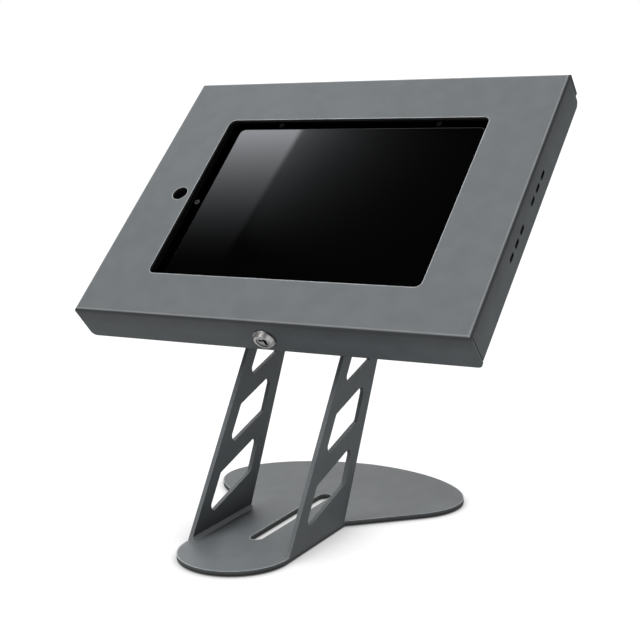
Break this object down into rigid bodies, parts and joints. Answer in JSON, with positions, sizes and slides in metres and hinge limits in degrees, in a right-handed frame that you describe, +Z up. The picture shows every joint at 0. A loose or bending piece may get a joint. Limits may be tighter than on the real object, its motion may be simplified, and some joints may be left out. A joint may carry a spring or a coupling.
{
  "type": "tablet kiosk stand",
  "caption": "Lockable steel tablet enclosure reclined on a welded two-legged stand: hinged front cover with window and cam lock, pierced legs, tongue-and-lobe base plate.",
  "frame": {"origin": "on the table under the middle of the whole object", "axes": "+Z up, the front and the window face -Y, +X to the viewer's right"},
  "size_m": [0.302, 0.2604, 0.2916],
  "materials": {
    "powder_coat": "satin, finely textured",
    "zinc_steel": "zinc plated",
    "lock_nickel": "bright nickel plated",
    "rubber": "matt",
    "foam": "matt closed-cell foam",
    "tablet_metal": "anodised",
    "tablet_glass": "polished, black behind",
    "display_panel": "dark, switched off",
    "lens": "polished"
  },
  "bodies": {
    "stand": {"stand_frame": "powder_coat", "foot_pads": "rubber", "mount_screws": "zinc_steel", "mount_washers": "zinc_steel", "mount_nuts": "zinc_steel", "rear_tray": "powder_coat", "corner_foam": "foam", "back_foam": "foam", "cable_grommet": "rubber", "lock_keeper": "zinc_steel", "keeper_rivets": "zinc_steel", "tray_hinge_leaf": "zinc_steel", "hinge_pin": "zinc_steel", "tray_leaf_rivets": "zinc_steel", "tablet_shell": "tablet_metal", "tablet_glass": "tablet_glass", "tablet_display": "display_panel", "camera_lens": "lens"},
    "cover": {"front_cover": "powder_coat", "window_gasket": "foam", "cover_hinge_leaf": "zinc_steel", "cover_leaf_rivets": "powder_coat", "lock_body": "lock_nickel", "lock_washer": "zinc_steel", "lock_nut": "zinc_steel"},
    "lock_core": {"lock_plug": "lock_nickel", "lock_cam": "zinc_steel", "cam_screw": "zinc_steel"},
    "power_key": {"power_button": "tablet_metal"},
    "volume_key": {"volume_button": "tablet_metal"}
  },
  "joints": [
    {"name": "cover_hinge", "type": "hinge", "parent": "stand", "child": "cover", "pos_m": [0, 0.12773, 0.27327], "axis": [-1, 0, 0], "range_deg": [0, 105]},
    {"name": "lock_turn", "type": "hinge", "parent": "cover", "child": "lock_core", "pos_m": [0, -0.04663, 0.13336], "axis": [0, -0.766, -0.6428], "range_deg": [0, 90]},
    {"name": "power_press", "type": "slide", "parent": "stand", "child": "power_key", "axis": [1, 0, 0], "range_m": [0, 0.0003], "stiffness_N_per_m": 1500},
    {"name": "volume_press", "type": "slide", "parent": "stand", "child": "volume_key", "axis": [0, -0.766, -0.6428], "range_m": [0, 0.0003], "stiffness_N_per_m": 1500}
  ]
}
